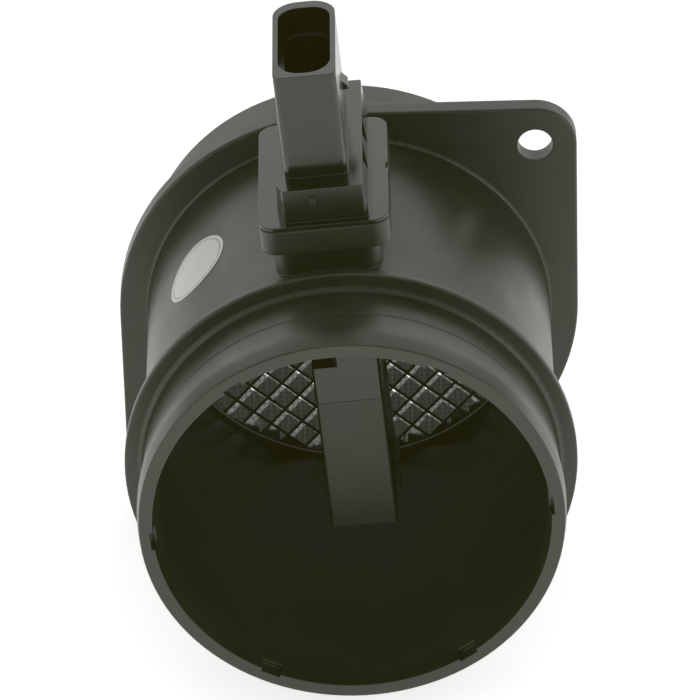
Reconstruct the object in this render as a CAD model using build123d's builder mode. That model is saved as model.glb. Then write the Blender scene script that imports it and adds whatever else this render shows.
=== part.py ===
"""Mass airflow sensor: flanged duct with flow grid and a plug-in hot-film module.

Frame: +Z up, the duct's axis along Y, origin on that axis at the flange's mating face.
The hose spigot points to -Y and the inlet spigot to +Y. The module stands on top of the duct,
turned about the duct's axis by module_clock. Millimetres throughout.
"""

import os
from math import cos, radians, sin, sqrt

from build123d import *

# ---------------------------------------------------------------- driving dimensions
# Duct and hose spigot
bore_radius = 39.5          # inside of the duct
spigot_wall = 3.0           # both spigots: 85 mm outside, for a standard hose
clamp_wall = 2.7            # hose spigot between groove and collar
tube_wall = 2.5             # duct between collar and flange
body_length = 82.5          # mating face to hose rim
spigot_length = 20.9        # hose rim to collar
collar_reach = 3.4          # hose stop, out from the spigot
collar_thickness = 2.0
crest_reach = 0.6           # hose bead, out from the spigot
crest_station = 3.3         # hose rim to the crest
crest_length = 2.0          # cylindrical part of the crest
lead_in_drop = 0.4          # crest to the rim's outer edge
ring_groove_station = 12.0  # hose rim to the fine groove round the spigot
ring_groove_width = 0.9
ring_groove_depth = 0.35
rim_edge = 0.3              # rounding of the hose rim's outer edge
rim_taper_length = 3.5      # inner taper of the hose rim
rim_taper_height = 0.5
root_fillet = 0.7           # back of the collar and flange roots
hose_stop_fillet = 1.2      # front of the collar
collar_edge = 0.4
notch_count = 6             # reliefs round the rim's inner edge
notch_width = 4.2
notch_depth = 1.1
notch_length = 3.0

# Bolt flange and inlet spigot
flange_reach = 5.5          # out from the spigot
flange_thickness = 3.8
flange_edge = 0.5           # rounding of the flange's front edge
lug_corner = 8.6            # lug corner radius, concentric with the bolt hole
bolt_hole_radius = 3.65     # clears an M6 bolt
inlet_length = 17.6         # mating face to inlet rim
inlet_chamfer = 0.8

# Flow grid and screen
grid_seat_step = 0.8        # counterbore that the grid and the screen sit in
grid_seat_start = -0.3      # shoulder of that counterbore, from the mating face
grid_fit = 0.05             # radial gap round the grid's ring
grid_depth = 7.5
grid_ring_wall = 1.7
grid_pitch = 4.7
grid_wall = 0.6
grid_turn = 49.0            # angle of the cell rows
grid_shift_along = -0.33    # lattice offset in cells
grid_shift_across = -0.50
smallest_cell = 1.6         # cells cut smaller than this area by the ring stay solid
screen_thickness = 0.9
screen_ring_width = 1.9

# Module position
module_clock = 4.5          # turn about the duct's axis, top towards -X
module_station = 34.5       # mating face to the module's centre, towards the hose

# Port on the duct
boss_width = 21.6
boss_length = 36.7
boss_shift = -0.6           # towards the flange
boss_corner = 4.0
port_width = 26.2
port_length = 39.4
port_shift = -0.5           # towards the flange
port_corner = 3.6
port_rise = 5.2             # port's underside above the tube
port_height = 5.3
port_edge = 0.8
seam_gap = 0.25             # chamfer on both sides of the seam between port and module

# Module: cover flange, plug, neck
cover_flange_height = 1.0
plug_width = 20.4
plug_length = 34.0
plug_height = 3.0
neck_width = 16.6
neck_length = 30.6
neck_corner = 4.5
port_fit = 0.2              # gap between the module and the port, each side
seal_drop = 4.9             # O-ring's centre below the plug
seal_cord = 1.9
seal_groove_slack = 0.15    # room above and below the cord

# Platform and connector shroud
platform_width = 18.3       # at its foot
platform_length = 41.1
platform_shift = 1.85       # towards the flange
platform_height = 7.5
platform_draft = 4.0        # sides and back; the front stands upright
platform_lead = 1.0         # the drafted block runs this far past the front before it is trimmed
platform_corner = 1.0
platform_cut_across = 1.6   # its front corner on the -X side is cut off
platform_cut_along = 4.2
recess_stations = (9.0, -0.9)   # square ends of the recesses in the +X side
recess_run = 7.4
recess_depth = 0.9
recess_land = 0.6
edge_notch_width = 2.4      # nick in the cover flange's +X edge
edge_notch_depth = 0.5
rib_shift = -1.7
rib_width = 0.8
rib_height = 2.0
rib_depth = 0.6
rib_drop = 2.8              # platform's top to the rib's centre
shroud_width = 12.6
shroud_length = 29.2
shroud_height = 23.4
shroud_front_corner = 1.5
shroud_rear_corner = 5.0
shroud_wall = 1.05
shroud_front_wall = 1.3
shroud_rear_wall = 2.45
shroud_shift_across = -0.6
shroud_shift_along = 0.6
socket_front_corner = 4.8
socket_rear_corner = 4.0
socket_depth = 21.5
socket_step_depth = 6.1     # the cavity is narrower below this depth
socket_step = 0.7
latch_top = 11.9            # shroud mouth down to the latch nose's top
latch_slope = 1.3
latch_face = 0.8
latch_reach = 1.2
latch_length = 3.4
latch_station = 4.6

# Probe in the bore
probe_width = 13.8
probe_length = 28.0
probe_shift = 0.5
probe_corner = 0.7
frame_bottom = 6.7          # seam between module body and channel housing
probe_tip = -24.0
window_width = 5.2
window_bottom = 15.3
window_height = 8.0
window_depth = 3.5

# Electronics chamber in the module body, open towards +X
chamber_depth = 9.2
chamber_length = 22.4
chamber_bottom = 10.0
chamber_top = 35.0
chamber_corner = 1.5
lid_thickness = 1.4
lid_rim = 1.3               # width of the rebate that a lid sits in
lid_fit = 0.1
carrier_thickness = 1.0
carrier_margin = 0.4
carrier_length = 22.2       # up from the chamber's bottom
tongue_width = 6.4
tongue_station = -3.0       # along the duct from the probe's centre
tongue_tip = -2.0
slot_fit = 0.1
board_length = 19.0
board_height = 16.5
board_thickness = 0.8
board_bottom = 12.0
chip_size = 6.0
chip_height = 1.2
capacitor_length = 2.0
capacitor_width = 1.2
capacitor_height = 1.0
capacitor_count = 4
capacitor_pitch = 3.6

# Channel housing
channel_depth = 9.6
channel_width = 7.2
channel_wall = 2.0
channel_roof = 2.4
island_length = 9.4
inlet_mouth_width = 7.6
inlet_mouth_height = 8.4
mouth_corner = 1.2
outlet_length = 8.6
outlet_height = 5.4
pad_reach = 0.9             # raised pads on the channel's lid
pad_height = 2.4
pad_rise = 0.8              # lid's lower edge to the pads
pad_spans = ((-6.4, 0.8), (2.3, 11.4))

# Sensing element and thermistor
sensing_strip_length = 5.0
sensing_strip_height = 5.4
sensing_strip_thickness = 0.9
chip_film_length = 2.2
chip_film_height = 2.6
chip_film_thickness = 0.4
bead_radius = 1.1
bead_length = 3.0
lead_radius = 0.25
lead_pitch = 1.6
lead_overlap = 0.8          # length lying on the board
bead_reach = 2.2            # bead centre beyond the frame's inlet side

# Terminals
terminal_count = 5
terminal_pitch = 4.4
terminal_width = 1.6
terminal_thickness = 0.8
terminal_rise = 6.6         # above the socket's floor
terminal_tip = 0.2
terminal_drop = 2.2         # below the chamber's roof
link_thickness = 0.3        # strip that joins a terminal to the board
link_width = 0.5
link_rise = 1.2
link_overlap = 0.8

# ---------------------------------------------------------------- derived stations
spigot_radius = bore_radius + spigot_wall
crest_radius = spigot_radius + crest_reach
rim_radius = crest_radius - lead_in_drop
clamp_radius = bore_radius + clamp_wall
tube_radius = bore_radius + tube_wall
collar_radius = spigot_radius + collar_reach
flange_radius = spigot_radius + flange_reach
grid_seat_radius = bore_radius + grid_seat_step
rim_y = -body_length
collar_front_y = rim_y + spigot_length
collar_back_y = collar_front_y + collar_thickness
flange_front_y = -flange_thickness
bolt_offset = flange_radius - lug_corner
bolt_circle_radius = bolt_offset * sqrt(2)
grid_front_y = grid_seat_start
grid_back_y = grid_front_y + grid_depth
grid_ring_radius = grid_seat_radius - grid_fit
grid_open_radius = grid_ring_radius - grid_ring_wall

port_bottom = tube_radius + port_rise
port_top = port_bottom + port_height
cover_top = port_top + cover_flange_height
plug_bottom = port_top - plug_height
platform_top = cover_top + platform_height
shroud_top = platform_top + shroud_height
socket_floor = shroud_top - socket_depth
socket_ledge = shroud_top - socket_step_depth
seal_station = plug_bottom - seal_drop
neck_bottom = sqrt(bore_radius ** 2 - (neck_width / 2) ** 2)

probe_side = probe_shift + probe_width / 2          # lid side
probe_back_side = probe_shift - probe_width / 2
chamber_floor = probe_side - chamber_depth
channel_floor = probe_side - channel_depth
carrier_face = chamber_floor + carrier_thickness
board_face = carrier_face + board_thickness
tongue_top = chamber_bottom + carrier_margin

across = (cos(radians(module_clock)), 0, sin(radians(module_clock)))
upward = (-sin(radians(module_clock)), 0, cos(radians(module_clock)))


def module_plane(height):
    """Plane across the module at a height above the duct's axis: x across, y along the duct."""
    base = Plane(origin=(0, -module_station, 0), x_dir=across, z_dir=upward)
    return base.offset(height)


def side_plane(offset):
    """Plane that faces +X across the module: x along the duct, y up."""
    base = Plane(origin=(0, -module_station, 0), x_dir=(0, 1, 0), z_dir=across)
    return base.offset(offset)


def front_plane(station):
    """Plane that faces the hose, at a station along the duct from the module's centre."""
    base = Plane(origin=(0, -module_station, 0), x_dir=across, z_dir=(0, -1, 0))
    return base.offset(-station)


def duct_plane(y):
    """Plane across the duct that faces the hose."""
    return Plane.XZ.offset(-y)


def corner_near(sketch, x, y):
    """The vertex of a sketch that is nearest to a point in the sketch's own coordinates."""
    return sketch.vertices().sort_by_distance((x, y, 0))[0]


def finish(part, name):
    """Label a finished piece and write its file."""
    part.label = name
    export_step(part, f"parts/{name}.step")


os.makedirs("parts", exist_ok=True)

# ---------------------------------------------------------------- tube housing
crest_front_y = rim_y + crest_station
groove_front_y = rim_y + ring_groove_station - ring_groove_width / 2
groove_back_y = groove_front_y + ring_groove_width
groove_floor = spigot_radius - ring_groove_depth

with BuildPart() as tube_housing:
    # Bolt flange: round, with two diagonally opposite quarters squared into lugs.
    with BuildSketch(Plane.XZ) as flange_outline:
        for side in (1, -1):
            with Locations((side * flange_radius / 2, side * flange_radius / 2)):
                Rectangle(flange_radius, flange_radius)
            outer_corner = corner_near(flange_outline, side * flange_radius, side * flange_radius)
            fillet(outer_corner, lug_corner)
        Circle(flange_radius)
    extrude(amount=flange_thickness)
    flange_front = tube_housing.faces().sort_by(Axis.Y)[0]
    fillet(flange_front.edges(), flange_edge)

    # Duct: hose spigot, collar, tube and inlet spigot in one turn.
    with BuildSketch(Plane.XY) as outer_section:
        with BuildLine():
            Polyline(
                (0, rim_y),
                (rim_radius, rim_y),
                (crest_radius, crest_front_y),
                (crest_radius, crest_front_y + crest_length),
                (spigot_radius, groove_front_y),
                (groove_floor, groove_front_y),
                (groove_floor, groove_back_y),
                (clamp_radius, groove_back_y),
                (clamp_radius, collar_front_y),
                (collar_radius, collar_front_y),
                (collar_radius, collar_back_y),
                (tube_radius, collar_back_y),
                (tube_radius, flange_front_y),
                (tube_radius + flange_reach / 2, flange_front_y),
                (tube_radius + flange_reach / 2, 0),
                (spigot_radius, 0),
                (spigot_radius, inlet_length),
                (0, inlet_length),
                close=True,
            )
        make_face()
        fillet(corner_near(outer_section, clamp_radius, collar_front_y), hose_stop_fillet)
        for root_y in (collar_back_y, flange_front_y):
            fillet(corner_near(outer_section, tube_radius, root_y), root_fillet)
        for collar_y in (collar_front_y, collar_back_y):
            fillet(corner_near(outer_section, collar_radius, collar_y), collar_edge)
        fillet(corner_near(outer_section, rim_radius, rim_y), rim_edge)
        chamfer(corner_near(outer_section, spigot_radius, inlet_length), inlet_chamfer)
    revolve(axis=Axis.Y)

    # Boss and port flange that carry the module.
    with BuildSketch(module_plane(tube_radius - boss_corner)):
        with Locations((0, boss_shift)):
            RectangleRounded(boss_width, boss_length, boss_corner)
    extrude(amount=port_bottom - tube_radius + boss_corner)
    with BuildSketch(module_plane(port_bottom)):
        with Locations((0, port_shift)):
            RectangleRounded(port_width, port_length, port_corner)
    extrude(amount=port_height)
    port_rim = tube_housing.faces().sort_by(Axis(module_plane(0).origin, upward))[-1]
    chamfer(port_rim.edges(), seam_gap)

    # Duct bore with the rim's taper and the seat of grid and screen.
    with BuildSketch(Plane.XY):
        with BuildLine():
            Polyline(
                (0, rim_y),
                (bore_radius + rim_taper_height, rim_y),
                (bore_radius, rim_y + rim_taper_length),
                (bore_radius, grid_seat_start),
                (grid_seat_radius, grid_seat_start),
                (grid_seat_radius, inlet_length),
                (0, inlet_length),
                close=True,
            )
        make_face()
    revolve(axis=Axis.Y, mode=Mode.SUBTRACT)

    # Port: pocket for the module's plug, then the hole for its neck down into the bore.
    with BuildSketch(module_plane(port_top)):
        RectangleRounded(plug_width + 2 * port_fit, plug_length + 2 * port_fit, neck_corner)
    extrude(amount=-plug_height, mode=Mode.SUBTRACT)
    with BuildSketch(module_plane(port_top)):
        RectangleRounded(neck_width + 2 * port_fit, neck_length + 2 * port_fit, neck_corner)
    extrude(amount=-port_top, mode=Mode.SUBTRACT)

    # Bolt holes and rim reliefs.
    with BuildSketch(Plane.XZ):
        with PolarLocations(bolt_circle_radius, 2, start_angle=45):
            Circle(bolt_hole_radius)
    extrude(amount=flange_thickness, mode=Mode.SUBTRACT)
    with BuildSketch(duct_plane(rim_y)):
        with PolarLocations(bore_radius, notch_count, start_angle=module_clock):
            Rectangle(2 * notch_depth, notch_width)
    extrude(amount=-notch_length, mode=Mode.SUBTRACT)
finish(tube_housing.part, "tube_housing")

# ---------------------------------------------------------------- flow grid
cell_opening = grid_pitch - grid_wall
cells_across = 2 * int(grid_open_radius / grid_pitch) + 3
with BuildSketch(duct_plane(grid_back_y)) as grid_cells:
    with Locations(Location((0, 0, 0), (0, 0, grid_turn))):
        cell_centre = (
            (grid_shift_along + 0.5) * grid_pitch,
            (grid_shift_across + 0.5) * grid_pitch,
        )
        with Locations(cell_centre):
            with GridLocations(grid_pitch, grid_pitch, cells_across, cells_across):
                Rectangle(cell_opening, cell_opening)
    Circle(grid_open_radius, mode=Mode.INTERSECT)
open_cells = [cell for cell in grid_cells.faces() if cell.area > smallest_cell]

with BuildPart() as flow_grid:
    with BuildSketch(duct_plane(grid_back_y)):
        Circle(grid_ring_radius)
        add(open_cells, mode=Mode.SUBTRACT)
    extrude(amount=grid_depth)
finish(flow_grid.part, "flow_grid")

# ---------------------------------------------------------------- screen ring
with BuildPart() as screen_ring:
    with BuildSketch(duct_plane(grid_back_y + screen_thickness)):
        Circle(grid_ring_radius)
        Circle(grid_ring_radius - screen_ring_width, mode=Mode.SUBTRACT)
    extrude(amount=screen_thickness)
finish(screen_ring.part, "screen_ring")

# ---------------------------------------------------------------- module body
platform_front = platform_shift - platform_length / 2
terminal_stations = [
    shroud_shift_along + (place - (terminal_count - 1) / 2) * terminal_pitch
    for place in range(terminal_count)
]
terminal_bottom = chamber_top - terminal_drop
terminal_top = socket_floor + terminal_rise

with BuildPart() as module_body:
    # Cover flange and the plug below it.
    with BuildSketch(module_plane(port_top)):
        with Locations((0, port_shift)):
            RectangleRounded(port_width, port_length, port_corner)
    extrude(amount=cover_flange_height)
    flange_foot = module_body.faces().sort_by(Axis(module_plane(0).origin, upward))[0]
    chamfer(flange_foot.edges(), seam_gap)
    with BuildSketch(module_plane(cover_top)):
        with Locations((port_width / 2, 0)):
            Rectangle(2 * edge_notch_depth, edge_notch_width)
    extrude(amount=-cover_flange_height, mode=Mode.SUBTRACT)
    with BuildSketch(module_plane(plug_bottom)):
        RectangleRounded(plug_width, plug_length, neck_corner - port_fit)
    extrude(amount=plug_height)

    # Neck with the O-ring's groove.
    with BuildSketch(module_plane(neck_bottom)):
        RectangleRounded(neck_width, neck_length, neck_corner - port_fit)
    extrude(amount=plug_bottom - neck_bottom)
    groove_height = seal_cord + 2 * seal_groove_slack
    groove_inset = seal_cord - port_fit
    with BuildSketch(module_plane(seal_station - groove_height / 2)):
        RectangleRounded(neck_width + 1, neck_length + 1, neck_corner)
        RectangleRounded(
            neck_width - 2 * groove_inset,
            neck_length - 2 * groove_inset,
            neck_corner - port_fit - groove_inset,
            mode=Mode.SUBTRACT,
        )
    extrude(amount=groove_height, mode=Mode.SUBTRACT)

    # Platform: draft on its sides and back, an upright front, and the front corner on the
    # -X side cut off at a slant.
    platform_back = platform_front + platform_length
    with BuildPart():
        with BuildSketch(module_plane(cover_top)) as platform_foot:
            with Locations((0, platform_shift - platform_lead / 2)):
                Rectangle(platform_width, platform_length + platform_lead)
            for x in (-platform_width / 2, platform_width / 2):
                fillet(corner_near(platform_foot, x, platform_back), platform_corner)
        extrude(amount=platform_height, taper=platform_draft)
        with BuildSketch(module_plane(cover_top)) as platform_outline:
            with Locations((0, platform_shift)):
                Rectangle(platform_width, platform_length)
            front_corner = corner_near(platform_outline, platform_width / 2, platform_front)
            fillet(front_corner, platform_corner)
            with BuildLine():
                Polyline(
                    (-platform_width / 2, platform_front + platform_cut_along),
                    (-platform_width / 2 + platform_cut_across, platform_front),
                    (-platform_width / 2, platform_front),
                    close=True,
                )
            make_face(mode=Mode.SUBTRACT)
        extrude(amount=platform_height, mode=Mode.INTERSECT)

    # Two three-cornered recesses in its +X side, and a small rib on its front.
    recess_top = platform_top - recess_land
    with BuildSketch(side_plane(platform_width / 2 - recess_depth)):
        for station in recess_stations:
            with BuildLine():
                Polyline(
                    (station, cover_top),
                    (station, recess_top),
                    (station - recess_run, recess_top),
                    close=True,
                )
            make_face()
    extrude(amount=recess_depth, mode=Mode.SUBTRACT)
    with BuildSketch(front_plane(platform_front)):
        with Locations((rib_shift, platform_top - rib_drop)):
            Rectangle(rib_width, rib_height)
    extrude(amount=rib_depth, both=True)

    # Connector shroud: square corners at the hose side, round ones at the flange side.
    shroud_front = shroud_shift_along - shroud_length / 2
    shroud_back = shroud_front + shroud_length
    shroud_sides = (
        shroud_shift_across - shroud_width / 2,
        shroud_shift_across + shroud_width / 2,
    )
    with BuildSketch(module_plane(platform_top)) as shroud_outline:
        with Locations((shroud_shift_across, shroud_shift_along)):
            Rectangle(shroud_width, shroud_length)
        for x in shroud_sides:
            fillet(corner_near(shroud_outline, x, shroud_front), shroud_front_corner)
            fillet(corner_near(shroud_outline, x, shroud_back), shroud_rear_corner)
    extrude(amount=shroud_height)

    # Its cavity: a wide mouth, then the same outline one step smaller.
    for inset, depth_from, depth_to in (
        (0, 0, socket_step_depth),
        (socket_step, socket_step_depth, socket_depth),
    ):
        socket_front = shroud_front + shroud_front_wall + inset
        socket_back = shroud_back - shroud_rear_wall - inset
        socket_width = shroud_width - 2 * (shroud_wall + inset)
        with BuildSketch(module_plane(shroud_top - depth_from)) as socket_outline:
            with Locations((shroud_shift_across, (socket_front + socket_back) / 2)):
                Rectangle(socket_width, socket_back - socket_front)
            for x in (-socket_width / 2, socket_width / 2):
                front_corner = corner_near(socket_outline, shroud_shift_across + x, socket_front)
                fillet(front_corner, socket_front_corner - inset)
                back_corner = corner_near(socket_outline, shroud_shift_across + x, socket_back)
                fillet(back_corner, socket_rear_corner - inset)
        extrude(amount=depth_from - depth_to, mode=Mode.SUBTRACT)

    # Latch nose on the shroud's +X side: a wedge that widens downwards to a square underside.
    latch_wall = shroud_sides[1]
    latch_root = latch_wall - shroud_wall / 2
    latch_top_height = shroud_top - latch_top
    latch_tip_height = latch_top_height - latch_slope
    latch_foot_height = latch_tip_height - latch_face
    with BuildSketch(front_plane(latch_station - latch_length / 2)):
        with BuildLine():
            Polyline(
                (latch_root, latch_top_height),
                (latch_wall, latch_top_height),
                (latch_wall + latch_reach, latch_tip_height),
                (latch_wall + latch_reach, latch_foot_height),
                (latch_root, latch_foot_height),
                close=True,
            )
        make_face()
    extrude(amount=-latch_length)

    # Probe frame down to the seam.
    with BuildSketch(module_plane(frame_bottom)):
        with Locations((probe_shift, 0)):
            RectangleRounded(probe_width, probe_length, probe_corner)
    extrude(amount=neck_bottom - frame_bottom)

    # Window at the hose side, beside the chamber.
    with BuildSketch(front_plane(-probe_length / 2)):
        with Locations((probe_back_side + window_width / 2, window_bottom + window_height / 2)):
            Rectangle(window_width, window_height)
    extrude(amount=-window_depth, mode=Mode.SUBTRACT)

    # Electronics chamber, with a rebate for its lid.
    chamber_height = chamber_top - chamber_bottom
    chamber_centre = (0, (chamber_top + chamber_bottom) / 2)
    with BuildSketch(side_plane(probe_side)):
        with Locations(chamber_centre):
            RectangleRounded(chamber_length, chamber_height, chamber_corner)
    extrude(amount=-chamber_depth, mode=Mode.SUBTRACT)
    with BuildSketch(side_plane(probe_side)):
        with Locations(chamber_centre):
            RectangleRounded(
                chamber_length + 2 * lid_rim,
                chamber_height + 2 * lid_rim,
                chamber_corner + lid_rim,
            )
    extrude(amount=-lid_thickness, mode=Mode.SUBTRACT)

    # Slot for the carrier's tongue through the chamber's bottom wall.
    with BuildSketch(module_plane(frame_bottom)):
        with Locations((chamber_floor + carrier_thickness / 2, tongue_station)):
            Rectangle(carrier_thickness + 2 * slot_fit, tongue_width + 2 * slot_fit)
    extrude(amount=chamber_bottom - frame_bottom + chamber_corner, mode=Mode.SUBTRACT)

    # Slots moulded tightly round the terminals.
    with BuildSketch(module_plane(terminal_bottom)):
        with Locations(*[(shroud_shift_across, station) for station in terminal_stations]):
            Rectangle(terminal_thickness, terminal_width)
    extrude(amount=socket_floor - terminal_bottom, mode=Mode.SUBTRACT)

    # Holes for the thermistor's leads through the chamber's inlet-side wall.
    lead_heights = [chamber_bottom + chamber_corner + 1 + place * lead_pitch for place in range(2)]
    lead_across = board_face + lead_radius
    with BuildSketch(front_plane(probe_length / 2)):
        with Locations(*[(lead_across, height) for height in lead_heights]):
            Circle(lead_radius)
    extrude(amount=(probe_length - chamber_length) / 2, mode=Mode.SUBTRACT)
finish(module_body.part, "module_body")

# ---------------------------------------------------------------- O-ring round the neck
seal_inset = seal_cord / 2 - port_fit
with BuildSketch(module_plane(seal_station)) as seal_outline:
    RectangleRounded(
        neck_width - 2 * seal_inset,
        neck_length - 2 * seal_inset,
        neck_corner - port_fit - seal_inset,
    )
seal_path = seal_outline.sketch.face().outer_wire()

with BuildPart() as module_seal:
    with BuildSketch(Plane(origin=seal_path @ 0, z_dir=seal_path % 0)):
        Circle(seal_cord / 2)
    sweep(path=seal_path)
finish(module_seal.part, "module_seal")

# ---------------------------------------------------------------- lid of the electronics chamber
with BuildPart() as electronics_cover:
    with BuildSketch(side_plane(probe_side)):
        with Locations(chamber_centre):
            RectangleRounded(
                chamber_length + 2 * (lid_rim - lid_fit),
                chamber_height + 2 * (lid_rim - lid_fit),
                chamber_corner + lid_rim - lid_fit,
            )
    extrude(amount=-lid_thickness)
finish(electronics_cover.part, "electronics_cover")

# ---------------------------------------------------------------- channel housing
channel_top = frame_bottom - channel_roof
channel_bottom = probe_tip + channel_wall
channel_half = probe_length / 2 - channel_wall
island_top = channel_top - channel_width
island_bottom = channel_bottom + inlet_mouth_height
outlet_centre = (channel_half - outlet_length / 2, channel_top - channel_width / 2)

with BuildPart() as channel_housing:
    with BuildSketch(module_plane(probe_tip)):
        with Locations((probe_shift, 0)):
            RectangleRounded(probe_width, probe_length, probe_corner)
    extrude(amount=frame_bottom - probe_tip)

    # Channel: in at the lower inlet side, round the island on the hose side, back above it.
    with BuildSketch(side_plane(probe_side)) as channel_form:
        with Locations((0, (channel_top + channel_bottom) / 2)):
            Rectangle(2 * channel_half, channel_top - channel_bottom)
        hose_corners = channel_form.vertices().group_by(Axis.X)[0]
        fillet(hose_corners, channel_width - 1)
        with Locations((channel_half, (island_top + island_bottom) / 2)):
            SlotOverall(
                2 * (2 * channel_half - channel_width),
                island_top - island_bottom,
                mode=Mode.SUBTRACT,
            )
    extrude(amount=-channel_depth, mode=Mode.SUBTRACT)

    # Inlet mouth through the inlet-side wall.
    with BuildSketch(front_plane(probe_length / 2)):
        mouth_across = channel_floor + inlet_mouth_width / 2
        with Locations((mouth_across, channel_bottom + inlet_mouth_height / 2)):
            RectangleRounded(inlet_mouth_width, inlet_mouth_height, mouth_corner)
    extrude(amount=channel_wall, mode=Mode.SUBTRACT)

    # Rebate for the lid, and the slot for the carrier's tongue.
    with BuildSketch(side_plane(probe_side)):
        with Locations((0, (channel_top + channel_bottom) / 2)):
            RectangleRounded(
                2 * (channel_half + lid_rim),
                channel_top - channel_bottom + 2 * lid_rim,
                chamber_corner,
            )
    extrude(amount=-lid_thickness, mode=Mode.SUBTRACT)
    with BuildSketch(module_plane(frame_bottom)):
        with Locations((chamber_floor + carrier_thickness / 2, tongue_station)):
            Rectangle(carrier_thickness + 2 * slot_fit, tongue_width + 2 * slot_fit)
    extrude(amount=channel_top - frame_bottom - slot_fit, mode=Mode.SUBTRACT)
finish(channel_housing.part, "channel_housing")

# ---------------------------------------------------------------- lid of the channel
with BuildPart() as channel_cover:
    with BuildSketch(side_plane(probe_side)):
        with Locations((0, (channel_top + channel_bottom) / 2)):
            RectangleRounded(
                2 * (channel_half + lid_rim - lid_fit),
                channel_top - channel_bottom + 2 * (lid_rim - lid_fit),
                chamber_corner - lid_fit,
            )
        with Locations(outlet_centre):
            RectangleRounded(outlet_length, outlet_height, mouth_corner, mode=Mode.SUBTRACT)
    extrude(amount=-lid_thickness)
    pad_centre = channel_bottom - lid_rim + pad_rise + pad_height / 2
    with BuildSketch(side_plane(probe_side)):
        for pad_start, pad_end in pad_spans:
            with Locations(((pad_start + pad_end) / 2, pad_centre)):
                Rectangle(pad_end - pad_start, pad_height)
    extrude(amount=pad_reach)
finish(channel_cover.part, "channel_cover")

# ---------------------------------------------------------------- carrier plate with its tongue
carrier_centre_height = tongue_top + carrier_length / 2
with BuildPart() as carrier_plate:
    with BuildSketch(side_plane(chamber_floor)):
        with Locations((0, carrier_centre_height)):
            RectangleRounded(
                chamber_length - 2 * carrier_margin,
                carrier_length,
                chamber_corner - carrier_margin,
            )
        with Locations((tongue_station, (tongue_top + tongue_tip) / 2)):
            Rectangle(tongue_width, tongue_top - tongue_tip)
    extrude(amount=carrier_thickness)
finish(carrier_plate.part, "carrier_plate")

# ---------------------------------------------------------------- circuit board and its parts
board_centre_height = board_bottom + board_height / 2
with BuildPart() as circuit_board:
    with BuildSketch(side_plane(carrier_face)):
        with Locations((0, board_centre_height)):
            Rectangle(board_length, board_height)
    extrude(amount=board_thickness)
finish(circuit_board.part, "circuit_board")

with BuildPart() as evaluation_chip:
    with BuildSketch(side_plane(board_face)):
        with Locations((tongue_station, board_centre_height)):
            Rectangle(chip_size, chip_size)
    extrude(amount=chip_height)
finish(evaluation_chip.part, "evaluation_chip")

with BuildPart() as board_capacitors:
    with BuildSketch(side_plane(board_face)):
        with Locations((board_length / 2 - capacitor_length, board_centre_height)):
            with GridLocations(capacitor_length, capacitor_pitch, 1, capacitor_count):
                Rectangle(capacitor_length, capacitor_width)
    extrude(amount=capacitor_height)
finish(board_capacitors.part, "board_capacitors")

# ---------------------------------------------------------------- sensing strip and chip
strip_centre = (tongue_station, channel_top - channel_width / 2)
with BuildPart() as sensing_carrier:
    with BuildSketch(side_plane(carrier_face)):
        with Locations(strip_centre):
            Rectangle(sensing_strip_length, sensing_strip_height)
    extrude(amount=sensing_strip_thickness)
finish(sensing_carrier.part, "sensing_carrier")

with BuildPart() as sensing_chip:
    with BuildSketch(side_plane(carrier_face + sensing_strip_thickness)):
        with Locations(strip_centre):
            Rectangle(chip_film_length, chip_film_height)
    extrude(amount=chip_film_thickness)
finish(sensing_chip.part, "sensing_chip")

# ---------------------------------------------------------------- air temperature bead and leads
bead_height = sum(lead_heights) / 2
with BuildPart() as intake_thermistor:
    with BuildSketch(front_plane(probe_length / 2 + bead_reach + bead_length / 2)):
        with Locations((lead_across, bead_height)):
            SlotOverall(lead_pitch + 2 * bead_radius, 2 * bead_radius, rotation=90)
    extrude(amount=bead_length)
finish(intake_thermistor.part, "intake_thermistor")

lead_end = probe_length / 2 + bead_reach - bead_length / 2
with BuildPart() as thermistor_leads:
    with BuildSketch(front_plane(lead_end)):
        with Locations(*[(lead_across, height) for height in lead_heights]):
            Circle(lead_radius)
    extrude(amount=lead_end - board_length / 2 + lead_overlap)
finish(thermistor_leads.part, "thermistor_leads")

# ---------------------------------------------------------------- terminals
for place, station in enumerate(terminal_stations, start=1):
    with BuildPart() as terminal:
        with BuildSketch(module_plane(terminal_bottom)):
            with Locations((shroud_shift_across, station)):
                Rectangle(terminal_thickness, terminal_width)
        extrude(amount=terminal_top - terminal_bottom)
        tip_face = terminal.faces().sort_by(Axis(module_plane(0).origin, upward))[-1]
        chamfer(tip_face.edges(), terminal_tip)
    finish(terminal.part, f"terminal_{place}")

# ---------------------------------------------------------------- links from terminals to board
terminal_face = shroud_shift_across + terminal_thickness / 2
with BuildPart() as bond_links:
    for station in terminal_stations:
        with BuildSketch(front_plane(station - link_width / 2)):
            with BuildLine():
                Polyline(
                    (board_face, board_bottom + board_height - link_overlap),
                    (board_face + link_rise, board_bottom + board_height - link_overlap),
                    (board_face + link_rise, terminal_bottom + link_overlap),
                    (terminal_face, terminal_bottom + link_overlap),
                )
            trace(line_width=link_thickness)
        extrude(amount=-link_width)
finish(bond_links.part, "bond_links")
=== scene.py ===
# %% [markdown]
# A mass airflow sensor sits between the air filter and the intake hose of an engine. It is a
# moulded duct with a plug-in measuring module on top. The solids come from the CAD model, in
# metres, with the duct's axis along Y and the mating face of its flange at Y = 0. This lesson gives
# those solids their finishes, and adds what is too fine for CAD: the woven wire screen, the
# label, and the small marks that moulding leaves.

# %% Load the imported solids
import math

import bmesh
import bpy
from mathutils import Matrix, Vector


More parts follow.
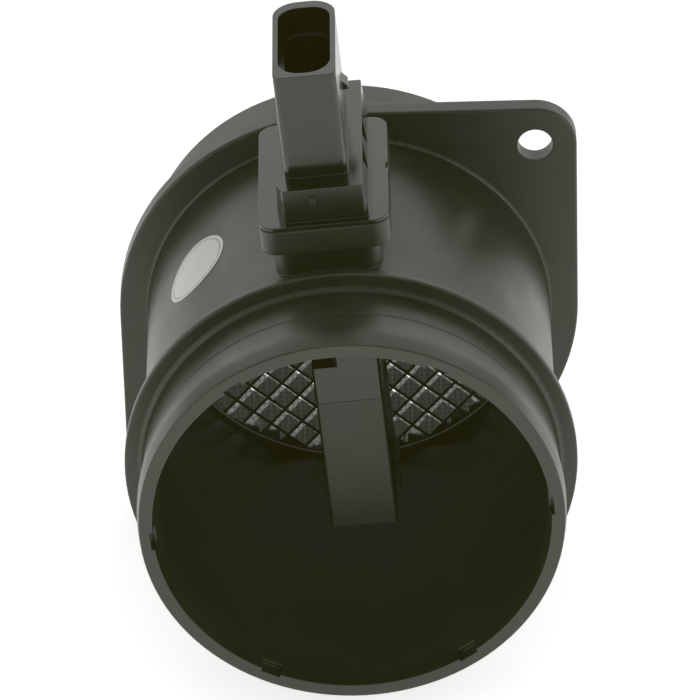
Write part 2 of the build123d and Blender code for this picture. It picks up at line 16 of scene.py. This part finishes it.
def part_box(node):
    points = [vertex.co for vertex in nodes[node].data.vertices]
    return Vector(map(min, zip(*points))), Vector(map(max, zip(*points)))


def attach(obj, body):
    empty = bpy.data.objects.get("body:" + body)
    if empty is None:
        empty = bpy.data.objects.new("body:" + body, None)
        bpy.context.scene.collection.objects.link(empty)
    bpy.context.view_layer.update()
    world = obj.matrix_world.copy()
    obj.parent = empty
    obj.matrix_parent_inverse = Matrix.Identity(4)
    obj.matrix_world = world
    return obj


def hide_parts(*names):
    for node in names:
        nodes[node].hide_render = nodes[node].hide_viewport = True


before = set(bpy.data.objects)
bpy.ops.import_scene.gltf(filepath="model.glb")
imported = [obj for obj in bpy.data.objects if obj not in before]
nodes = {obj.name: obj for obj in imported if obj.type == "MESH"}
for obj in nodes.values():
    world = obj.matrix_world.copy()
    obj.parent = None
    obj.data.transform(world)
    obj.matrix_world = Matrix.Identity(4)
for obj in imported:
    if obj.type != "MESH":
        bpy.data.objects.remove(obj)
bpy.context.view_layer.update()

# %% [markdown]
# Sizes are written in millimetres, as on a drawing, and turned to metres by one factor. The
# places of the screen and the floor are read from the solids' own boxes. The tube's radius is
# typed, because the box of the housing is wider than its tube.

# %% Units and shared sizes
MM = 0.001


def box_mm(name):
    """Lowest and highest corner of a CAD node in millimetres."""
    low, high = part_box(name)
    return [v / MM for v in low], [v / MM for v in high]


ring_low, ring_high = box_mm("screen_ring")
housing_low, housing_high = box_mm("tube_housing")
tube_radius = 42.0
sharp_angle = math.radians(38)          # faces that meet at more than this keep a crisp edge
print("screen ring from", round(ring_low[1], 2), "to", round(ring_high[1], 2), "mm along the duct")

# %% [markdown]
# Colours are picked as sRGB hex values, the way a colour chart lists them. Shaders work in
# linear light, so one function turns them. One more function adds a node with its settings and
# links; every material and every geometry tree below is built with it.

# %% Helpers for node trees
def hex_colour(code):
    """A linear RGBA colour from an sRGB hex value."""
    parts = [int(code[i:i + 2], 16) / 255 for i in (1, 3, 5)]
    return [v / 12.92 if v <= 0.04045 else ((v + 0.055) / 1.055) ** 2.4 for v in parts] + [1.0]


def add(tree, kind, inputs=None, **settings):
    """Add a node, set its properties, then set or link its inputs."""
    item = tree.nodes.new(kind)
    for name, value in settings.items():
        setattr(item, name, value)
    for key, value in (inputs or {}).items():
        if isinstance(value, bpy.types.NodeSocket):
            tree.links.new(value, item.inputs[key])
        else:
            item.inputs[key].default_value = value
    return item


def new_material(name):
    """An empty node material, its tree and its output."""
    material = bpy.data.materials.new(name)
    material.use_nodes = True
    material.node_tree.nodes.clear()
    return material, material.node_tree, add(material.node_tree, "ShaderNodeOutputMaterial")


def per_mm(size):
    """The noise scale that gives features of this size in millimetres on Object coordinates."""
    return 1.0 / (size * MM)

# %% [markdown]
# The housing is injection moulded in glass-filled PBT, dyed black. Carbon black never gives a
# pure black: the resin is a very dark olive where it is in shade, and the skin is half gloss, so
# it picks up pale studio light on every face that looks up. Three things break the sheen. The
# flow of the melt leaves cloudy patches some 12 mm across that are more or less shiny, glass
# fibres leave a fine grain, and handling rubs the edges a little paler. The real grain is finer
# than the 0.25 mm drawn here, which is as fine as can still show. Many edges of the solids are
# sharp, so a Bevel node rounds them in the shading by a fraction of a millimetre.
#
# One function makes all four plastics. The housing is satin, the module comes from a polished
# tool and is glossier, and the lower part of the probe is the dullest. The grid has no fibres and
# its cell walls are nearly mirrors. Its IOR is set above the 1.57 of the resin, as the walls of
# real cells gleam more than the shader shows at that value.

# %% Moulded plastic
def moulded_plastic(name, dark, pale, gloss, grain, grain_depth, edge, ior=1.57):
    """Black technical plastic. gloss is (lowest, highest) roughness, sizes are in millimetres."""
    cloud_size = 12.0
    cloud_low, cloud_high = 0.3, 0.7    # the stretch of the noise that is spread over the gloss
    edge_turn = 0.86                    # cosine at which an edge counts as fully rubbed
    grain_gloss = 0.10                  # roughness that the grain adds at most
    material, tree, output = new_material(name)
    place = add(tree, "ShaderNodeTexCoord").outputs["Object"]
    clouds = add(tree, "ShaderNodeTexNoise", {
        "Vector": place, "Scale": per_mm(cloud_size), "Detail": 3.0, "Roughness": 0.55, "Distortion": 0.6})
    speckle = add(tree, "ShaderNodeTexNoise", {
        "Vector": place, "Scale": per_mm(grain), "Detail": 2.0, "Roughness": 0.6})
    fibres = add(tree, "ShaderNodeTexVoronoi", {
        "Vector": place, "Scale": per_mm(grain * 1.8)}, feature="F1")
    rounded = add(tree, "ShaderNodeBevel", {"Radius": edge * MM}, samples=6)
    face = add(tree, "ShaderNodeNewGeometry")
    same = add(tree, "ShaderNodeVectorMath", {
        0: rounded.outputs["Normal"], 1: face.outputs["Normal"]}, operation="DOT_PRODUCT")
    rubbed = add(tree, "ShaderNodeMapRange", {
        "Value": same.outputs["Value"], "From Min": 1.0, "From Max": edge_turn,
        "To Min": 0.0, "To Max": 0.7})
    tone = add(tree, "ShaderNodeMapRange", {
        "Value": clouds.outputs["Fac"], "From Min": cloud_low, "From Max": cloud_high})
    colour = add(tree, "ShaderNodeMix", {
        "Factor": tone.outputs["Result"], "A": hex_colour(dark), "B": hex_colour(pale)},
        data_type="RGBA")
    worn = add(tree, "ShaderNodeMix", {
        "Factor": rubbed.outputs["Result"], "A": colour.outputs["Result"],
        "B": hex_colour("#3a3a33")}, data_type="RGBA")
    rough = add(tree, "ShaderNodeMapRange", {
        "Value": clouds.outputs["Fac"], "From Min": cloud_low, "From Max": cloud_high,
        "To Min": gloss[0], "To Max": gloss[1]})
    rough = add(tree, "ShaderNodeMath", {
        0: speckle.outputs["Fac"], 1: grain_gloss, 2: rough.outputs["Result"]}, operation="MULTIPLY_ADD")
    height = add(tree, "ShaderNodeMath", {
        0: fibres.outputs["Distance"], 1: 0.5, 2: speckle.outputs["Fac"]}, operation="MULTIPLY_ADD")
    bump = add(tree, "ShaderNodeBump", {
        "Height": height.outputs["Value"], "Distance": grain_depth * MM, "Strength": 1.0,
        "Normal": rounded.outputs["Normal"]})
    skin = add(tree, "ShaderNodeBsdfPrincipled", {
        "Base Color": worn.outputs["Result"], "Roughness": rough.outputs["Value"],
        "IOR": ior, "Normal": bump.outputs["Normal"]})
    tree.links.new(skin.outputs["BSDF"], output.inputs["Surface"])
    return material


housing_pbt = moulded_plastic(
    "glass_filled_pbt_housing", "#1d1e16", "#25261b", (0.28, 0.36), 0.25, 0.006, 0.35)
module_pbt = moulded_plastic(
    "glass_filled_pbt_module", "#14150e", "#191a12", (0.10, 0.16), 0.20, 0.006, 0.25)
channel_pbt = moulded_plastic(
    "glass_filled_pbt_channel", "#1e1f16", "#26271d", (0.30, 0.38), 0.20, 0.006, 0.15)
grid_pbt = moulded_plastic(
    "unfilled_pbt_grid", "#2a2b24", "#32332b", (0.05, 0.09), 0.30, 0.003, 0.12, 1.7)
print("plastics:", housing_pbt.name, module_pbt.name, channel_pbt.name, grid_pbt.name)

# %% [markdown]
# Metals and the small electronic parts need less. Each keeps the default IOR where it is a metal,
# and gets the trace of how it was made: drawn wire is lightly streaked, rolled aluminium has a
# satin grain, tin plating is soft and a little cloudy, a ceramic capacitor is smooth and chalky.

# %% Metals, rubber and electronics
def small_part_finish(name, dark, pale, metallic, gloss, grain, grain_depth, stretch=(1, 1, 1)):
    """A finish for metal, rubber and electronic parts; stretch draws the pattern out along an axis."""
    material, tree, output = new_material(name)
    place = add(tree, "ShaderNodeTexCoord").outputs["Object"]
    drawn = add(tree, "ShaderNodeMapping", {"Vector": place, "Scale": stretch})
    pattern = add(tree, "ShaderNodeTexNoise", {
        "Vector": drawn.outputs["Vector"], "Scale": per_mm(grain), "Detail": 4.0})
    patches = add(tree, "ShaderNodeTexNoise", {
        "Vector": place, "Scale": per_mm(grain * 9), "Detail": 2.0})
    tone = add(tree, "ShaderNodeMix", {
        "Factor": patches.outputs["Fac"], "A": hex_colour(dark), "B": hex_colour(pale)},
        data_type="RGBA")
    rough = add(tree, "ShaderNodeMapRange", {
        "Value": pattern.outputs["Fac"], "From Min": 0.3, "From Max": 0.7,
        "To Min": gloss[0], "To Max": gloss[1]})
    bump = add(tree, "ShaderNodeBump", {
        "Height": pattern.outputs["Fac"], "Distance": grain_depth * MM, "Strength": 1.0})
    skin = add(tree, "ShaderNodeBsdfPrincipled", {
        "Base Color": tone.outputs["Result"], "Roughness": rough.outputs["Result"],
        "Metallic": metallic, "Normal": bump.outputs["Normal"]})
    tree.links.new(skin.outputs["BSDF"], output.inputs["Surface"])
    return material


finishes = {
    "housing_plastic": housing_pbt,
    "module_plastic": module_pbt,
    "grid_plastic": grid_pbt,
    "screen_steel": small_part_finish(
        "drawn_stainless_steel", "#a9a8a3", "#cfcdc7", 1.0, (0.22, 0.38), 0.12, 0.002, (1, 1, 6)),
    "seal_rubber": small_part_finish(
        "moulded_nitrile_rubber", "#141413", "#1c1c1a", 0.0, (0.55, 0.7), 0.15, 0.004),
    "carrier_aluminium": small_part_finish(
        "rolled_aluminium", "#b9babb", "#d2d3d4", 1.0, (0.32, 0.48), 0.10, 0.002, (1, 8, 1)),
    "board_laminate": small_part_finish(
        "solder_mask_on_ceramic", "#1e4a35", "#24573e", 0.0, (0.25, 0.4), 0.3, 0.003),
    "chip_resin": small_part_finish(
        "epoxy_moulding_compound", "#1a1a1b", "#232324", 0.0, (0.5, 0.65), 0.12, 0.003),
    "capacitor_ceramic": small_part_finish(
        "ceramic_capacitor_body", "#8a6f4d", "#a08560", 0.0, (0.4, 0.55), 0.1, 0.002),
    "sensing_plastic": small_part_finish(
        "liquid_crystal_polymer", "#33332f", "#3d3d38", 0.0, (0.4, 0.5), 0.15, 0.003),
    "chip_silicon": small_part_finish(
        "polished_silicon", "#3a3f4a", "#4b5160", 0.7, (0.08, 0.16), 0.4, 0.0005),
    "bead_resin": small_part_finish(
        "dipped_epoxy_bead", "#20201c", "#2b2b25", 0.0, (0.15, 0.25), 0.6, 0.01),
    "lead_wire": small_part_finish(
        "tinned_copper_wire", "#b4b2aa", "#cbc9c2", 1.0, (0.25, 0.4), 0.1, 0.002, (1, 5, 1)),
    "link_aluminium": small_part_finish(
        "bonded_aluminium_strip", "#c3c4c5", "#d8d9da", 1.0, (0.25, 0.38), 0.08, 0.001, (1, 6, 1)),
    "terminal_tin": small_part_finish(
        "tin_plated_bronze", "#b5b1a4", "#cdc9bc", 1.0, (0.22, 0.36), 0.15, 0.0015, (1, 1, 5)),
}
print(len(finishes), "finishes ready")

# %% [markdown]
# A CAD node arrives as loose triangles, which is right for its shape and wrong for its shading: a
# turned tube would show every facet. Each node is therefore copied, its doubled corners are merged,
# and it is shaded smooth except where two faces meet at more than the sharp angle. A Weighted
# Normal modifier then lets large flat faces keep their flatness next to small fillets. The copy
# stands for the node, which stays for the physics.

# %% Dress a CAD node
def to_plain_mesh(piece, name):
    """Bake a piece's modifiers into a plain mesh object of its own."""
    seen = piece.evaluated_get(bpy.context.evaluated_depsgraph_get())
    mesh = bpy.data.meshes.new_from_object(seen)
    bpy.data.objects.remove(piece)
    plain = bpy.data.objects.new(name, mesh)
    bpy.context.collection.objects.link(plain)
    return plain


def dress(name, finish):
    """A smooth copy of a CAD node in its finish, in the node's place."""
    weld_distance = 0.01 * MM
    shell = bmesh.new()
    shell.from_mesh(nodes[name].data)
    bmesh.ops.remove_doubles(shell, verts=shell.verts, dist=weld_distance)
    shell.verts.index_update()
    mesh = bpy.data.meshes.new(name + "_skin")
    mesh.from_pydata([v.co[:] for v in shell.verts], [],
                     [[v.index for v in f.verts] for f in shell.faces])
    shell.free()
    mesh.shade_smooth()
    mesh.set_sharp_from_angle(angle=sharp_angle)
    piece = bpy.data.objects.new(name + "_raw", mesh)
    bpy.context.collection.objects.link(piece)
    even = piece.modifiers.new("even", "WEIGHTED_NORMAL")
    even.keep_sharp = True
    piece = to_plain_mesh(piece, name + "_skin")
    piece.data.materials.clear()
    piece.data.materials.append(finish)
    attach(piece, "root")
    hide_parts(name)
    return piece


slots = {
    "tube_housing": "housing_plastic", "module_body": "module_plastic",
    "channel_housing": "module_plastic", "channel_cover": "module_plastic",
    "electronics_cover": "module_plastic", "flow_grid": "grid_plastic",
    "screen_ring": "screen_steel", "module_seal": "seal_rubber",
    "carrier_plate": "carrier_aluminium", "circuit_board": "board_laminate",
    "evaluation_chip": "chip_resin", "board_capacitors": "capacitor_ceramic",
    "sensing_carrier": "sensing_plastic", "sensing_chip": "chip_silicon",
    "intake_thermistor": "bead_resin", "thermistor_leads": "lead_wire",
    "bond_links": "link_aluminium",
}
slots.update({f"terminal_{i}": "terminal_tin" for i in range(1, 6)})
probe_parts = ("channel_housing", "channel_cover")
skins = {}
for name, slot in slots.items():
    skins[name] = dress(name, channel_pbt if name in probe_parts else finishes[slot])
print(len(skins), "nodes dressed,", sum(len(s.data.polygons) for s in skins.values()), "faces")

# %% [markdown]
# Behind the plastic flow grid lies a fine woven wire screen, which breaks up the last swirls of the
# air. It is plain weave: every wire passes over one cross wire and under the next. Geometry Nodes
# make it from one rule: a row of straight curves, each cut to its chord of the round
# frame, lifted and dropped by a cosine that changes sign from one wire to the next. A second row
# is the same tree turned by a quarter. Wire of 0.16 mm at a pitch of 1.2 mm reads as a fine cloth,
# leaves most of the area open for the air, and keeps the mesh light.

# %% Woven wire screen
def weave_tree(name):
    """Geometry Nodes: one direction of a round plain-weave screen in the XZ plane."""
    tree = bpy.data.node_groups.new(name, "GeometryNodeTree")
    sockets = tree.interface
    for label in ("Radius", "Pitch", "Wire", "Phase"):
        sockets.new_socket(label, in_out="INPUT", socket_type="NodeSocketFloat")
    sockets.new_socket("Material", in_out="INPUT", socket_type="NodeSocketMaterial")
    sockets.new_socket("Geometry", in_out="OUTPUT", socket_type="NodeSocketGeometry")
    given = add(tree, "NodeGroupInput").outputs
    radius, pitch, wire, phase = (given[k] for k in ("Radius", "Pitch", "Wire", "Phase"))

    def calc(operation, *values, **settings):
        keys = {i: v for i, v in enumerate(values)}
        return add(tree, "ShaderNodeMath", keys, operation=operation, **settings).outputs[0]

    half = calc("FLOOR", calc("DIVIDE", calc("SUBTRACT", radius, wire), pitch))
    count = calc("ADD", calc("MULTIPLY", half, 2.0), 1.0)
    start = calc("MULTIPLY", half, calc("MULTIPLY", pitch, -1.0))
    row = add(tree, "GeometryNodeMeshLine", {
        "Count": count,
        "Start Location": add(tree, "ShaderNodeCombineXYZ", {"X": start}).outputs[0],
        "Offset": add(tree, "ShaderNodeCombineXYZ", {"X": pitch}).outputs[0]})
    number = add(tree, "GeometryNodeInputIndex").outputs[0]
    across = add(tree, "ShaderNodeSeparateXYZ", {
        "Vector": add(tree, "GeometryNodeInputPosition").outputs[0]})
    chord = calc("SQRT", calc("SUBTRACT", calc("MULTIPLY", radius, radius),
                              calc("MULTIPLY", across.outputs["X"], across.outputs["X"])))
    sign = calc("SUBTRACT", calc("MULTIPLY", calc("MODULO", number, 2.0), 2.0), 1.0)
    kept = add(tree, "GeometryNodeStoreNamedAttribute", {
        "Geometry": row.outputs["Mesh"], "Name": "side", "Value": sign},
        data_type="FLOAT", domain="POINT")
    strand = add(tree, "GeometryNodeCurvePrimitiveLine", {"Start": (0, 0, -1), "End": (0, 0, 1)})
    placed = add(tree, "GeometryNodeInstanceOnPoints", {
        "Points": kept.outputs["Geometry"], "Instance": strand.outputs["Curve"],
        "Scale": add(tree, "ShaderNodeCombineXYZ", {"X": 1.0, "Y": 1.0, "Z": chord}).outputs[0]})
    real = add(tree, "GeometryNodeRealizeInstances", {"Geometry": placed.outputs["Instances"]})
    step = calc("MULTIPLY", pitch, 0.5)
    runs = add(tree, "GeometryNodeResampleCurve", {
        "Curve": real.outputs["Geometry"], "Length": step}, mode="LENGTH")
    spot = add(tree, "ShaderNodeSeparateXYZ", {
        "Vector": add(tree, "GeometryNodeInputPosition").outputs[0]})
    turn = calc("MULTIPLY", calc("DIVIDE", spot.outputs["Z"], pitch), math.pi)
    side = add(tree, "GeometryNodeInputNamedAttribute", {"Name": "side"}, data_type="FLOAT")
    lift = calc("MULTIPLY", calc("MULTIPLY", calc("COSINE", turn), side.outputs["Attribute"]),
                calc("MULTIPLY", calc("MULTIPLY", wire, 0.5), phase))
    woven = add(tree, "GeometryNodeSetPosition", {
        "Geometry": runs.outputs["Curve"],
        "Offset": add(tree, "ShaderNodeCombineXYZ", {"Y": lift}).outputs[0]})
    profile = add(tree, "GeometryNodeCurvePrimitiveCircle", {
        "Resolution": 4, "Radius": calc("MULTIPLY", wire, 0.5)})
    solid = add(tree, "GeometryNodeCurveToMesh", {
        "Curve": woven.outputs["Geometry"], "Profile Curve": profile.outputs["Curve"],
        "Fill Caps": True})
    real_mesh = add(tree, "GeometryNodeRealizeInstances", {"Geometry": solid.outputs["Mesh"]})
    painted = add(tree, "GeometryNodeSetMaterial", {
        "Geometry": real_mesh.outputs["Geometry"], "Material": given["Material"]})
    add(tree, "NodeGroupOutput", {"Geometry": painted.outputs["Geometry"]})
    return tree


screen_radius = 39.6        # the wires run into the steel ring, which grips them
screen_pitch = 1.2
screen_wire = 0.16
screen_y = (ring_low[1] + ring_high[1]) / 2


def set_inputs(modifier, values):
    """Set a Geometry Nodes modifier's inputs by their sockets' identifiers."""
    for item in modifier.node_group.interface.items_tree:
        if item.item_type == "SOCKET" and item.in_out == "INPUT" and item.name in values:
            modifier[item.identifier] = values[item.name]


weave = weave_tree("round_plain_weave")
halves = []
for label, phase, turn in (("warp", 1.0, 0.0), ("weft", -1.0, math.pi / 2)):
    base = bpy.data.objects.new(label, bpy.data.meshes.new(label))
    bpy.context.collection.objects.link(base)
    row = base.modifiers.new("weave", "NODES")
    row.node_group = weave
    set_inputs(row, {"Radius": screen_radius * MM, "Pitch": screen_pitch * MM,
                     "Wire": screen_wire * MM, "Phase": phase, "Material": finishes["screen_steel"]})
    half = to_plain_mesh(base, label + "_plain")
    half.data.transform(Matrix.Rotation(turn, 4, "Y"))
    halves.append(half)

screen = bmesh.new()
for half in halves:
    screen.from_mesh(half.data)
    bpy.data.objects.remove(half)
bmesh.ops.translate(screen, verts=screen.verts, vec=(0, screen_y * MM, 0))
bmesh.ops.recalc_face_normals(screen, faces=screen.faces)
screen_mesh = bpy.data.meshes.new("wire_screen")
screen.to_mesh(screen_mesh)
screen.free()
screen_mesh.materials.append(finishes["screen_steel"])
screen_mesh.shade_smooth()
wire_screen = bpy.data.objects.new("wire_screen", screen_mesh)
bpy.context.collection.objects.link(wire_screen)
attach(wire_screen, "root")
print("wire screen:", len(screen_mesh.polygons), "faces")

# %% [markdown]
# A grid like this can be held by a thin round steel wire that springs into the corner between the
# bore's shoulder and the grid's ring. It is a small circle swept round the duct's axis. From the
# hose end it shows as a bright line along the lower edge of the grid.

# %% Retaining wire
def swept_ring(name, radius, y, wire, steps, sides, finish):
    """A ring round the duct's axis, swept from a circle of radius wire; sizes in millimetres."""
    corners, faces = [], []
    for i in range(steps):
        turn = 2 * math.pi * i / steps
        for j in range(sides):
            spin = 2 * math.pi * j / sides
            reach = radius + wire * math.cos(spin)
            corners.append(Vector((math.cos(turn) * reach, y + wire * math.sin(spin),
                                   math.sin(turn) * reach)) * MM)
            here, there = i * sides, (i + 1) % steps * sides
            faces.append((here + j, there + j, there + (j + 1) % sides, here + (j + 1) % sides))
    mesh = bpy.data.meshes.new(name)
    mesh.from_pydata(corners, [], faces)
    round_up = bmesh.new()
    round_up.from_mesh(mesh)
    bmesh.ops.recalc_face_normals(round_up, faces=round_up.faces)
    round_up.to_mesh(mesh)
    round_up.free()
    mesh.shade_smooth()
    mesh.materials.append(finish)
    ring = bpy.data.objects.new(name, mesh)
    bpy.context.collection.objects.link(ring)
    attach(ring, "root")
    return ring


retaining_radius = 38.8     # duct's axis to the middle of the wire
retaining_y = -0.42
retaining_half = 0.18       # half the wire's thickness
retaining_wire = swept_ring(
    "retaining_wire", retaining_radius, retaining_y, retaining_half, 180, 8, finishes["screen_steel"])
print("retaining wire:", len(retaining_wire.data.polygons), "faces")

# %% [markdown]
# A round type label is stuck on the tube beside the module. It is a pale polyester film that
# stands 0.09 mm off the tube and has taken its curve. It stays blank here: only a thin printed
# border is drawn. The disc is laid out flat, ring by ring, and each point is then rolled on to the
# tube, so the film follows it everywhere. A last ring turns the rim down into the tube. A UV map
# keeps the flat place of each point for the border.

# %% Label film
label_centre_angle = math.radians(137.7)    # round the tube from +X towards +Z
label_centre_y = -30.3
label_radius = 8.2
label_lift = 0.09
label_sink = -0.02          # the turned-down rim ends just below the tube's surface
rings, spokes = 10, 72


def on_tube(along, y, lift):
    """A point of the flat label rolled on to the tube."""
    angle = label_centre_angle - along / tube_radius
    reach = tube_radius + lift
    return Vector((math.cos(angle) * reach, y, math.sin(angle) * reach)) * MM


film = bmesh.new()
flat = {}


def film_ring(radius, lift):
    """One ring of the label's points, rolled on to the tube; each keeps its flat place."""
    ring = []
    for j in range(spokes):
        angle = 2 * math.pi * j / spokes
        u, v = radius * math.cos(angle), radius * math.sin(angle)
        vertex = film.verts.new(on_tube(u, label_centre_y + v, lift))
        flat[vertex] = (u / label_radius, v / label_radius)
        ring.append(vertex)
    return ring


centre = film.verts.new(on_tube(0, label_centre_y, label_lift))
flat[centre] = (0.0, 0.0)
layers = [film_ring(label_radius * k / rings, label_lift) for k in range(1, rings + 1)]
layers.append(film_ring(label_radius, label_sink))
for j in range(spokes):
    n = (j + 1) % spokes
    film.faces.new((centre, layers[0][j], layers[0][n]))
    for inner, outer in zip(layers, layers[1:]):
        film.faces.new((inner[j], outer[j], outer[n], inner[n]))
film.faces.new(list(reversed(layers[-1])))
bmesh.ops.recalc_face_normals(film, faces=film.faces)
uv = film.loops.layers.uv.new("flat")
for face in film.faces:
    face.smooth = True
    for loop in face.loops:
        loop[uv].uv = flat[loop.vert]
label_mesh = bpy.data.meshes.new("blank_label")
film.to_mesh(label_mesh)
film.free()
label_mesh.set_sharp_from_angle(angle=sharp_angle)
blank_label = bpy.data.objects.new("blank_label", label_mesh)
bpy.context.collection.objects.link(blank_label)

material, tree, output = new_material("printed_polyester_film")
place = add(tree, "ShaderNodeTexCoord")
out = add(tree, "ShaderNodeVectorMath", {0: place.outputs["UV"]}, operation="LENGTH")
border = add(tree, "ShaderNodeMapRange", {
    "Value": out.outputs["Value"], "From Min": 0.86, "From Max": 0.89})
border_end = add(tree, "ShaderNodeMapRange", {
    "Value": out.outputs["Value"], "From Min": 0.93, "From Max": 0.90})
line = add(tree, "ShaderNodeMath", {
    0: border.outputs["Result"], 1: border_end.outputs["Result"]}, operation="MULTIPLY")
dust = add(tree, "ShaderNodeTexNoise", {
    "Vector": place.outputs["Object"], "Scale": per_mm(2.5), "Detail": 5.0})
paper = add(tree, "ShaderNodeMix", {
    "Factor": dust.outputs["Fac"], "A": hex_colour("#b9bbb7"), "B": hex_colour("#d0d2ce")},
    data_type="RGBA")
print_line = add(tree, "ShaderNodeMix", {
    "Factor": line.outputs["Value"], "A": paper.outputs["Result"], "B": hex_colour("#8b8d89")},
    data_type="RGBA")
rough = add(tree, "ShaderNodeMapRange", {
    "Value": dust.outputs["Fac"], "To Min": 0.25, "To Max": 0.45})
relief = add(tree, "ShaderNodeBump", {
    "Height": dust.outputs["Fac"], "Distance": 0.004 * MM, "Strength": 1.0})
film_skin = add(tree, "ShaderNodeBsdfPrincipled", {
    "Base Color": print_line.outputs["Result"], "Roughness": rough.outputs["Result"],
    "IOR": 1.5, "Normal": relief.outputs["Normal"]})
tree.links.new(film_skin.outputs["BSDF"], output.inputs["Surface"])
label_mesh.materials.append(material)
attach(blank_label, "root")
print("label:", len(label_mesh.polygons), "faces")

# %% [markdown]
# The stage is a matt white sheet, large enough to fill the view from every side. It glows a
# little, like a sheet that is lit from below, which keeps the background white and the shadow of
# the object faint. The glow is weaker behind the object, because the sides of the duct mirror that
# part of the sheet. The object stands on the lower edge of its flange.

# %% Floor
floor_z = housing_low[2]
half_side = 1.6             # metres
glow_turn = 0.15            # metres before and behind the axis over which the glow changes
glow_front, glow_back = 0.75, 0.5
material, tree, output = new_material("backlit_white_sheet")
place = add(tree, "ShaderNodeTexCoord").outputs["Object"]
depth = add(tree, "ShaderNodeSeparateXYZ", {"Vector": place})
glow = add(tree, "ShaderNodeMapRange", {
    "Value": depth.outputs["Y"], "From Min": -glow_turn, "From Max": glow_turn,
    "To Min": glow_front, "To Max": glow_back})
pulp = add(tree, "ShaderNodeTexNoise", {"Vector": place, "Scale": per_mm(4.0), "Detail": 3.0})
pressed = add(tree, "ShaderNodeBump", {
    "Height": pulp.outputs["Fac"], "Distance": 0.01 * MM, "Strength": 0.5})
sheet = add(tree, "ShaderNodeBsdfPrincipled", {
    "Base Color": hex_colour("#f4f4f2"), "Roughness": 0.9, "Specular IOR Level": 0.1,
    "Emission Color": hex_colour("#ffffff"), "Emission Strength": glow.outputs["Result"],
    "Normal": pressed.outputs["Normal"]})
tree.links.new(sheet.outputs["BSDF"], output.inputs["Surface"])
paper_mesh = bpy.data.meshes.new("paper_sheet")
paper_mesh.from_pydata(
    [(x * half_side, y * half_side, floor_z * MM) for x, y in ((-1, -1), (1, -1), (1, 1), (-1, 1))],
    [], [(0, 1, 2, 3)])
paper_mesh.materials.append(material)
paper_sheet = bpy.data.objects.new("paper_sheet", paper_mesh)
bpy.context.collection.objects.link(paper_sheet)
print("floor at", round(floor_z, 2), "mm")

# %% [markdown]
# Black plastic is lit by what it reflects. The faces that look up mirror what stands behind the
# object, from the horizon to a third of the way up the sky, so one very wide softbox stands there
# and draws the broad sheen along the tube. A small one hangs above it, one stands at each side to
# give the flat faces some shape, and a grey room fills the rest. Places and sizes are in metres,
# powers in watts.
#
# A lens seldom shows a full black next to a white background, because stray light veils the
# darkest tones. The view's black level adds that veil. It is a setting of the view alone, so the
# materials keep their own colours.

# %% Lights and room
def softbox(name, place, width, height, power):
    """A rectangular area light that faces the object."""
    light = bpy.data.lights.new(name, "AREA")
    light.shape = "RECTANGLE"
    light.size, light.size_y, light.energy = width, height, power
    lamp = bpy.data.objects.new(name, light)
    bpy.context.collection.objects.link(lamp)
    lamp.location = place
    lamp.rotation_euler = (-Vector(place)).to_track_quat("-Z", "Y").to_euler()
    return lamp


softbox("top_softbox", (0.0, 0.9, 2.1), 1.6, 1.2, 5.0)
softbox("back_softbox", (0.0, 3.4, 1.2), 5.4, 2.5, 39.0)
softbox("right_softbox", (2.0, -0.8, 0.7), 1.6, 1.2, 10.0)
softbox("left_softbox", (-2.0, -0.8, 0.7), 1.6, 1.2, 6.0)
room = bpy.data.worlds.new("grey_room")
room.use_nodes = True
room.node_tree.nodes.clear()
sky = add(room.node_tree, "ShaderNodeBackground", {"Color": hex_colour("#e8e9e6"), "Strength": 0.5})
add(room.node_tree, "ShaderNodeOutputWorld", {"Surface": sky.outputs["Background"]})
bpy.context.scene.world = room
veil = (0.010, 0.010, 0.0015)           # stray light in linear red, green and blue
response = bpy.context.scene.view_settings
response.view_transform = "Standard"
response.use_curve_mapping = True
response.curve_mapping.black_level = [-v for v in veil]
response.curve_mapping.update()

# %% [markdown]
# A long lens from well back keeps the duct's ellipses almost parallel. The camera stands in front
# of the hose end, looks down at a third of a right angle, and leans by under two degrees.

# %% Camera
azimuth, elevation, roll = (math.radians(v) for v in (0.478, 33.303, -1.66))
camera_place = Vector((9.9, -1196.0, 773.1)) * MM
back = Vector((math.sin(azimuth) * math.cos(elevation),
               -math.cos(azimuth) * math.cos(elevation), math.sin(elevation)))
level = Vector((math.cos(azimuth), math.sin(azimuth), 0))
rise = back.cross(level)
right = math.cos(roll) * level + math.sin(roll) * rise
up = -math.sin(roll) * level + math.cos(roll) * rise
lens = bpy.data.cameras.new("studio_camera")
lens.sensor_width = 36.0
lens.lens = 348.55
lens.clip_start, lens.clip_end = 0.05, 20.0
camera = bpy.data.objects.new("studio_camera", lens)
bpy.context.collection.objects.link(camera)
turned = Matrix((right, up, back)).transposed().to_4x4()
camera.matrix_world = Matrix.Translation(camera_place) @ turned
bpy.context.scene.camera = camera
print("camera at", [round(v, 3) for v in camera.location])

# %% [markdown]
# Last, the scene is brought up to date. The screen, the wire and the label all lie inside the box of the
# solids.

# %% Finish
bpy.context.view_layer.update()
